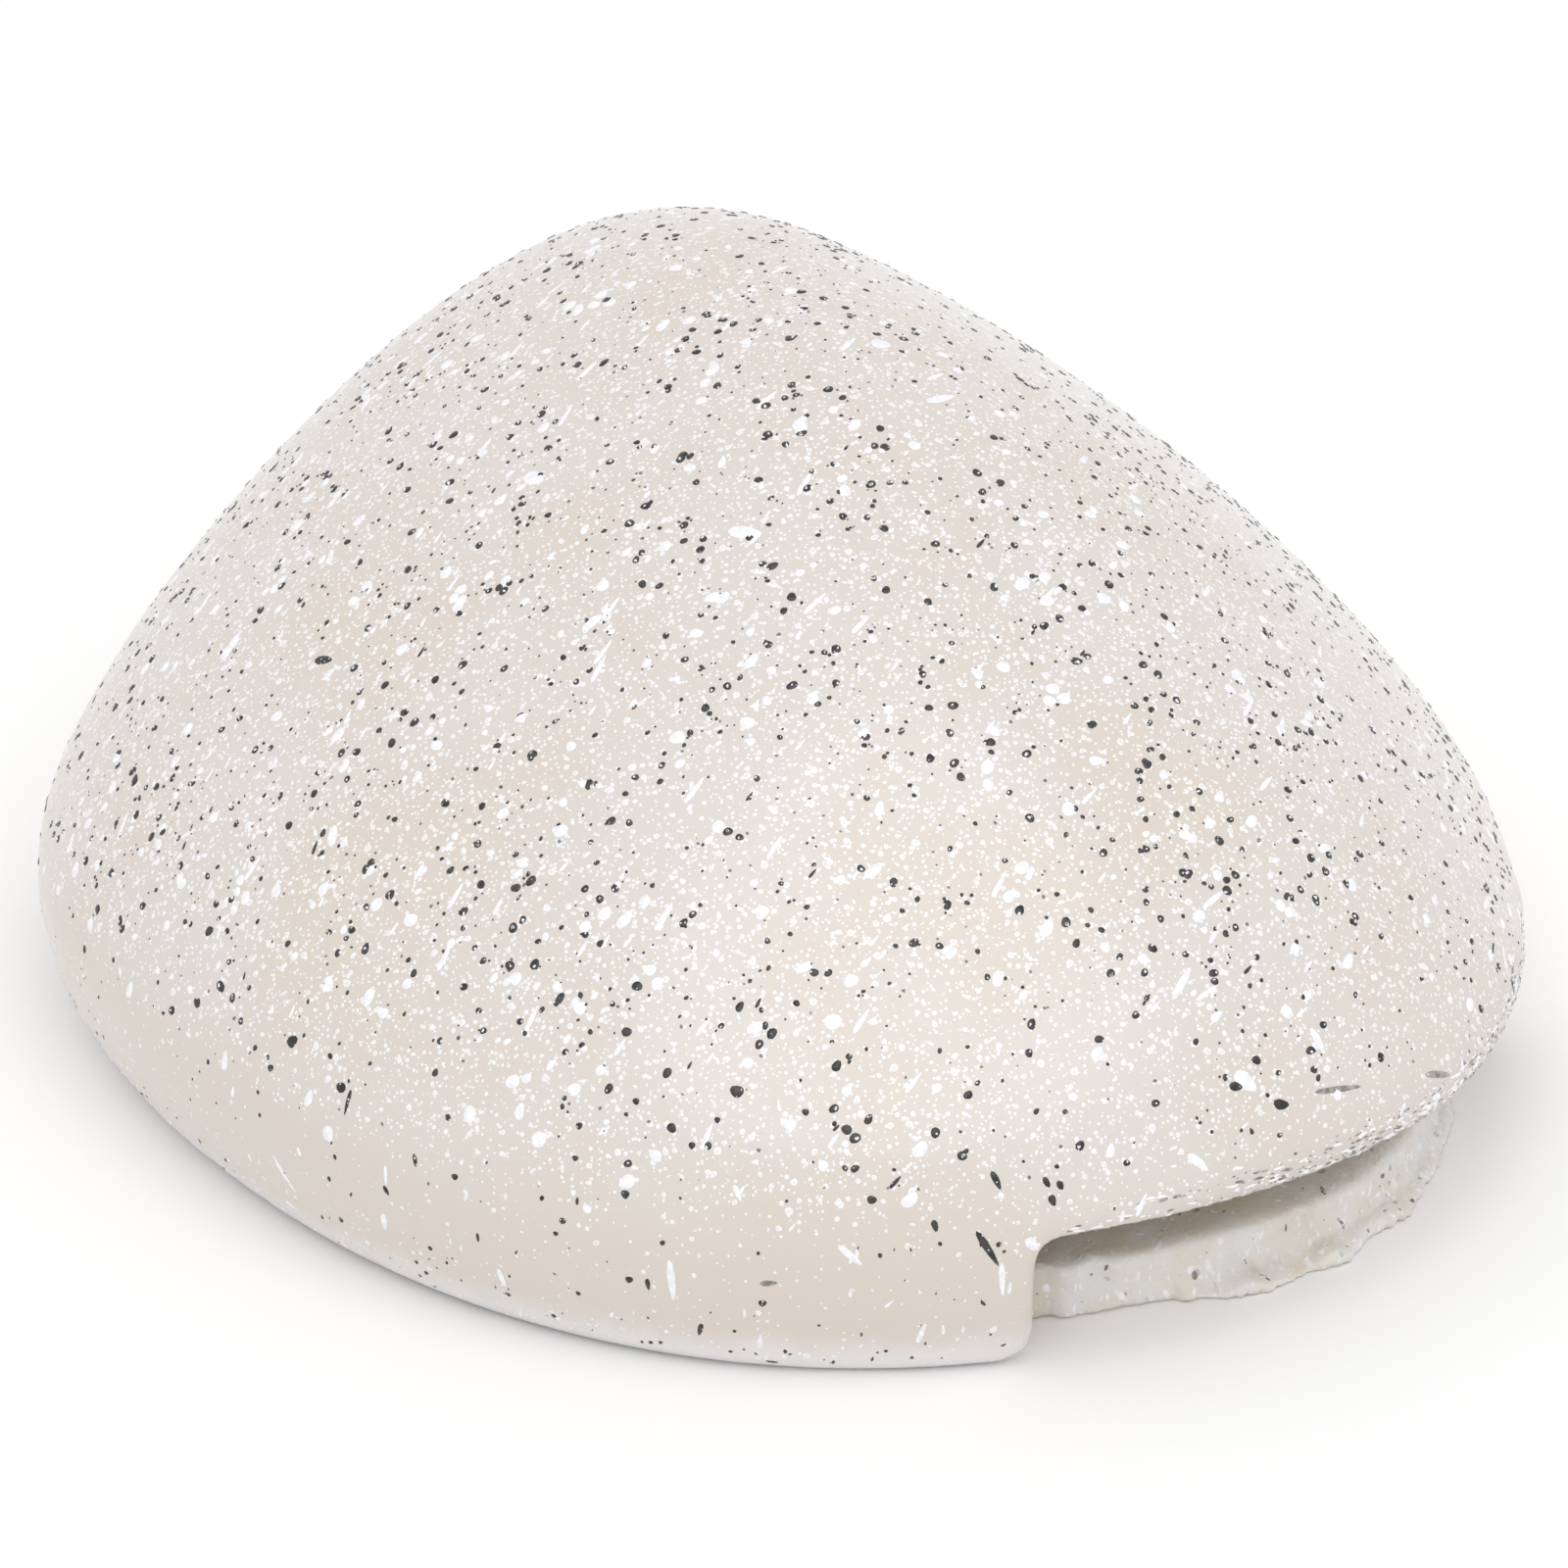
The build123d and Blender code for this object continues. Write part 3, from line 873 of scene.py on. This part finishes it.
for paint, marks in ((black_drops, BLACK_MARKS), (white_drops, WHITE_MARKS), (grey_drops, GREY_MARKS)):
    for start_pixel, end_pixel, wide in marks:
        place_mark(paint, start_pixel, end_pixel, wide)
for paint, dots in ((black_drops, BLACK_DOTS), (white_drops, WHITE_DOTS)):
    for across, down, wide in dots:
        place_mark(paint, (across, down - wide / 4), (across, down + wide / 4), wide)
print("grey smears placed:", len(grey_drops.faces) // (2 * RIM_POINTS))

# %% [markdown]
# Just above the lip of the notch the wet paint dragged along the edge, into a fringe of
# short level dabs of white and grey. It is densest on the right.

# %% The fringe along the lip
LIP_HEIGHT = 11.7 * MM

lip_zone = outer & (middles[:, 0] > 20 * MM) & (middles[:, 1] < -12 * MM) & (normals[:, 2] < 0.35)
above_lip = middles[:, 2] - LIP_HEIGHT
fringe = areas * lip_zone * (above_lip > 0.3 * MM) * np.exp(-np.clip(above_lip, 0, 1) / (2.3 * MM))
fringe *= np.clip((middles[:, 0] - 20 * MM) / (18 * MM), 0.1, 1)


def scatter_fringe(paint, count):
    for normal, centre in landings(fringe, count):
        level = normal.cross(Vector((0, 0, 1))).normalized() + Vector(chance.normal(size=3)) * 0.08
        long = (0.25 + 1.0 * chance.random() ** 2.5) * MM
        dab = {"length": long, "width": 0.07 * MM + long * 0.18, "wobble": 0.12}
        paint.add(centre, normal, level, thickness=0.04 * MM, **dab)


scatter_fringe(white_drops, 420)
scatter_fringe(grey_drops, 260)
for paint in (white_drops, black_drops, grey_drops):
    paint.finish("rock", "rock_resin")

# %% [markdown]
# ## The base
#
# The base is a rougher casting. In the notch its wall shows: it is uneven, with three open
# air bubbles, and a ragged sheet of flash runs out from its foot. The CAD solid has a smooth
# ledge there. Its points are pulled out, or in, to a torn outline, and thinned towards it.

# %% The base's casting
BASE_CELL = 0.6 * MM
base_skin = even_copy(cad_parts["key_base"].data, "base_skin", BASE_CELL)
relax(base_skin, rounds=12, sharp_pull=0.05 * MM)

# the foot of the flash in plan, in mm, from the left-hand end of the notch to the right
FLASH_OUTLINE = (
    (18.7, -46.3), (24.7, -44.9), (31.0, -43.0), (33.0, -43.0), (37.4, -40.8), (38.2, -39.7),
    (41.4, -38.0), (43.0, -34.9), (45.9, -32.3), (46.4, -30.6), (47.6, -27.5), (49.6, -21.0),
    (50.2, -14.0), (50.2, -9.6),
)
FLASH_TOP = 1.7 * MM


def bearing(points):
    """Angle round the crown's upright and distance from it."""
    across, along = points[..., 0] - CROWN_X, points[..., 1] - CROWN_Y
    return np.arctan2(along, across), np.hypot(across, along)


def reach_around(points, counted):
    """For each point, how far out the counted points stand at its angle, by whole degrees."""
    angle, reach = bearing(points)
    degree = np.clip(np.digitize(angle, np.linspace(-math.pi, math.pi, 361)) - 1, 0, 359)
    furthest = np.zeros(360)
    np.maximum.at(furthest, degree[counted], reach[counted])
    return furthest[degree]


def wall_reach(points):
    """How far out the base's upright wall stands at the angle of each point."""
    return reach_around(points, (points[:, 2] > 2.4 * MM) & (points[:, 2] < 3.8 * MM))


def move_out(points, scale):
    """Scales points level, away from the crown's upright."""
    points[:, 0] = CROWN_X + (points[:, 0] - CROWN_X) * scale
    points[:, 1] = CROWN_Y + (points[:, 1] - CROWN_Y) * scale


def wander(points, grain, seed):
    """Smooth random values from -1 to 1 at places, with features about grain wide."""
    shift = Vector((seed, 2 * seed, 3 * seed))
    return np.array([noise.noise(Vector(place) / grain + shift) for place in points])


# how far the wall leans out at its foot, by the angle round the crown's upright
FLARE_ANGLES = np.radians((-74, -62, -50, -40, -30, -24))
FLARE_REACH = np.array((0.5, 0.8, 2.2, 2.6, 2.4, 0.0)) * MM
FLARE_DEPTH = 4.5 * MM


def flare_wall(piece):
    """Moves the wall in the notch outwards, most at its outer face, as the cast one leans."""
    points = read_points(piece.data)
    angle, reach = bearing(points)
    wall = wall_reach(points)
    lean = np.interp(angle, FLARE_ANGLES, FLARE_REACH, left=0, right=0)
    near = np.clip(1 - (wall - reach) / FLARE_DEPTH, 0, 1)
    ledge = np.clip((reach - wall) / (3 * MM), 0, 1)
    below = np.clip((6.0 * MM - points[:, 2]) / (2 * MM), 0, 1)
    move_out(points, 1 + lean * near * (1 - ledge) * below / np.maximum(reach, MM))
    write_points(piece.data, points)


# %% The torn flash
def tear_flash(piece):
    """Draws the ledge at the foot of the wall out to the torn outline, and thins it."""
    points = read_points(piece.data)
    angle, reach = bearing(points)
    low = points[:, 2] < FLASH_TOP
    wall, ledge = wall_reach(points), reach_around(points, low)
    outline_angle, outline_reach = bearing(np.array(FLASH_OUTLINE) * MM)
    torn = np.interp(angle, outline_angle, outline_reach)
    along = np.stack([angle * 60 * MM, np.zeros(len(angle)), np.zeros(len(angle))], axis=1)
    torn += 0.7 * MM * wander(along, 3.4 * MM, 4) + 0.25 * MM * wander(along, 1.1 * MM, 9)
    inside_notch = (angle > outline_angle[0]) & (angle < outline_angle[-1])
    flash = low & inside_notch & (reach > wall + 0.1 * MM) & (ledge > wall + 0.5 * MM)
    share = np.clip((reach - wall) / np.maximum(ledge - wall, 0.4 * MM), 0, 1)
    new_reach = wall + share * (torn - wall)
    move_out(points, np.where(flash, new_reach / np.maximum(reach, MM), 1.0))
    lumpy = 0.75 + 0.45 * wander(points, 2.5 * MM, 6)
    points[:, 2] = np.where(flash, points[:, 2] * np.clip(lumpy - 0.25 * share, 0.3, 1.15), points[:, 2])
    write_points(piece.data, points)
    return int(flash.sum())


def roughen_wall(piece):
    """Makes the wall and the groove that show in the notch uneven."""
    points, normals = read_points(piece.data), read_normals(piece.data)
    in_notch = (points[:, 0] > 12 * MM) & (points[:, 1] < -5 * MM) & (points[:, 2] < 9.5 * MM)
    strength = in_notch * np.clip(points[:, 2] / (0.6 * MM), 0, 1)
    push = 0.22 * wander(points, 4 * MM, 1) + 0.1 * wander(points, 1.4 * MM, 2)
    points += normals * (strength * push * MM)[:, None]
    points[:, 2] = np.maximum(points[:, 2], 0)
    write_points(piece.data, points)


def open_bubble(piece, pixel, radius, depth):
    """Sinks a broken air bubble into the wall, where a pixel of the photograph shows it."""
    centre = surface_tree(piece).ray_cast(*photo_ray(*pixel))[0]
    points, normals = read_points(piece.data), read_normals(piece.data)
    far = np.linalg.norm(points - np.array(centre), axis=1) / radius
    hollow = np.clip(1 - far**2, 0, 1) ** 1.5
    raised_edge = 0.25 * np.exp(-(((far - 1.05) / 0.18) ** 2))
    points -= normals * (depth * (hollow - raised_edge))[:, None]
    write_points(piece.data, points)


flare_wall(base_skin)
print("points of flash:", tear_flash(base_skin))
roughen_wall(base_skin)
open_bubble(base_skin, (1118, 1303), 1.5 * MM, 0.6 * MM)
open_bubble(base_skin, (1326, 1252), 1.3 * MM, 0.7 * MM)
open_bubble(base_skin, (1084, 1316), 0.5 * MM, 0.3 * MM)

# %% [markdown]
# The part of the base inside the notch has the oversprayed finish, and the rest is raw.

# %% Finish of the base
base_skin.data.materials.append(raw_resin)
base_skin.data.materials.append(oversprayed)


def mark_oversprayed(piece):
    tree = surface_tree(piece)
    count = 0
    for polygon in piece.data.polygons:
        place = polygon.center
        in_notch = place.x > 16.5 * MM and place.y < -8 * MM and place.z < 10 * MM
        if not in_notch or polygon.normal.z < -0.8:
            continue
        if tree.ray_cast(place + polygon.normal * 0.2 * MM, outward(place))[0] is None:
            polygon.material_index = 1
            count += 1
    return count


print("oversprayed faces:", mark_oversprayed(base_skin))
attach(base_skin, "base")
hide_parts("key_base")

# %% Overspray dabs on the base's wall
base_surface = surface_tree(base_skin)
base_middles, base_normals, base_areas, base_slots = face_table(base_skin)
low_down = np.clip(1.15 - base_middles[:, 2] / (6 * MM), 0.05, 1)
base_weights = base_areas * (base_slots == 1) * low_down * (base_middles[:, 2] > 0.25 * MM)


def scatter_base(paint, count, smallest, largest):
    picked = chance.choice(len(base_weights), size=count, p=base_weights / base_weights.sum())
    for face in picked:
        wide = smallest + (largest - smallest) * chance.random() ** 2.5
        drawn = 1 + 1.6 * chance.random() ** 2
        way = (Vector((0.1, 0, 1)) + 0.4 * Vector(chance.normal(size=3))).normalized()
        dab = {"length": wide * drawn, "width": wide / math.sqrt(drawn), "wobble": 0.14}
        paint.add(Vector(base_middles[face]), Vector(base_normals[face]), way, thickness=0.04 * MM, **dab)
    paint.finish("base", "base_resin")


scatter_base(Paint("base_white_dabs", white_paint, base_surface), 330, 0.16 * MM, 0.8 * MM)
scatter_base(Paint("base_grey_dabs", grey_paint, base_surface), 60, 0.16 * MM, 0.6 * MM)

# %% [markdown]
# ## The pad, the magnets and the discs
#
# The pad is soft foam, so its top is crowned and its edges are puffed out, and small open
# cells cover it. The magnets are nickel plated and the discs are zinc plated steel. These
# keep their CAD shapes, which are exact for such parts.

# %% Foam pad
PAD_CELL = 0.5 * MM


def make_foam():
    material, tree, shader = new_material("black_foam")
    place = place_in_mm(tree)
    cells = shader_node(tree, "ShaderNodeTexVoronoi", {"Vector": place, "Scale": 2.6})
    wall = ramp_node(tree, cells.outputs["Distance"], 0.1, 0.55)
    dark = mix_colours(tree, noise_node(tree, place, 0.3), (0.018, 0.018, 0.02, 1), (0.04, 0.04, 0.043, 1))
    # The middles of the open cells are painted darker than the foam around them: painted shade in the
    # pores.
    colour = mix_colours(tree, wall, (0.008, 0.008, 0.009, 1), dark)
    feed(tree, shader, {"Base Color": colour, "Roughness": 0.95, "Sheen Weight": 0.25})
    bump_into(tree, shader, wall, 0.22)
    return material


def make_pad():
    pad = even_copy(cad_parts["key_pad"].data, "key_pad_foam", PAD_CELL)
    relax(pad, rounds=6, sharp_pull=0.4 * MM)
    points, normals = read_points(pad.data), read_normals(pad.data)
    low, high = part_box("key_pad")
    middle, half = (low + high) / 2, (high - low) / 2
    across = np.abs((points[:, :2] - np.array(middle)[:2]) / np.array(half)[:2]).max(axis=1)
    top = np.clip((points[:, 2] - middle.z) / half.z, 0, 1)
    points[:, 2] -= top * 0.22 * MM * np.clip(across, 0, 1) ** 6
    points += normals * (0.05 * MM * wander(points, 3 * MM, 5) - 0.06 * MM)[:, None]
    write_points(pad.data, points)
    pad.data.materials.append(make_foam())
    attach(pad, "base")
    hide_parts("key_pad")
    print(pad.name, "-", len(pad.data.polygons), "faces")


make_pad()

# %% Plated metals
def make_plated(name, colour, rough, wear):
    """Plated metal with fine scratches, slightly duller where it has been rubbed."""
    material, tree, shader = new_material(name)
    place = place_in_mm(tree)
    scratches = noise_node(tree, place, 5.0, 6.0, Distortion=1.5)
    rubbed = noise_node(tree, place, 0.5)
    tone = mix_colours(tree, rubbed, colour, tuple(wear * part for part in colour[:3]) + (1,))
    roughness = ramp_node(tree, rubbed, 0.3, 0.7, rough, rough + 0.18)
    feed(tree, shader, {"Base Color": tone, "Roughness": roughness, "Metallic": 1.0})
    bump_into(tree, shader, scratches, 0.02)
    return material


nickel = make_plated("nickel_plate", (0.66, 0.65, 0.62, 1), 0.16, 0.85)
zinc = make_plated("zinc_plate", (0.56, 0.57, 0.6, 1), 0.3, 0.8)
for number in (1, 2, 3):
    for node_name, metal in ((f"shell_magnet_{number}", nickel), (f"base_disc_{number}", zinc)):
        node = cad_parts[node_name]
        node.data.materials.clear()
        node.data.materials.append(metal)
print("plated: magnets and discs")

# %% [markdown]
# ## Stage
#
# A pale floor and soft, even light. The world and one large lamp together light a level
# surface at the strength at which a colour renders as it is written.

# %% Floor, world and lamps
FLOOR_SIDE = 8.0
FLOOR_WHITE = (0.97, 0.97, 0.97, 1)
WORLD_LIGHT = 0.8
KEY_PLACE = (0.25, -1.3, 2.7)
KEY_SIZE = 3.2
KEY_POWER = 34.0


def make_floor():
    half = FLOOR_SIDE / 2
    corners = np.array([(-half, -half, 0), (half, -half, 0), (half, half, 0), (-half, half, 0)])
    floor = new_piece("floor", corners, np.array([[0, 1, 2, 3]]))
    material, tree, shader = new_material("pale_floor")
    feed(tree, shader, {"Base Color": FLOOR_WHITE, "Roughness": 0.9, "Specular IOR Level": 0.0})
    floor.data.materials.append(material)


def make_world():
    world = bpy.data.worlds.new("studio")
    world.use_nodes = True
    tree = world.node_tree
    tree.nodes.clear()
    rays = tree.nodes.new("ShaderNodeLightPath")
    seen = sum_node(tree, "MAXIMUM", rays.outputs["Is Camera Ray"], rays.outputs["Is Glossy Ray"])
    seen = sum_node(tree, "MAXIMUM", seen, rays.outputs["Is Transmission Ray"])
    strength = ramp_node(tree, seen, 0.0, 1.0, WORLD_LIGHT, 1.0, smooth=False)
    light = shader_node(tree, "ShaderNodeBackground", {"Color": (1, 1, 1, 1), "Strength": strength})
    shader_node(tree, "ShaderNodeOutputWorld", {"Surface": light.outputs[0]})
    bpy.context.scene.world = world


def make_lamp(name, place, size, power):
    """A round soft lamp that faces the object."""
    data = bpy.data.lights.new(name, "AREA")
    data.shape = "DISK"
    data.size = size
    data.energy = power
    lamp = bpy.data.objects.new(name, data)
    lamp.location = place
    lamp.rotation_mode = "QUATERNION"
    lamp.rotation_quaternion = Vector(place).to_track_quat("Z", "Y")
    bpy.context.scene.collection.objects.link(lamp)


make_floor()
make_world()
make_lamp("key_light", KEY_PLACE, KEY_SIZE, KEY_POWER)
bpy.context.scene.view_settings.view_transform = "Standard"
print("stage ready")
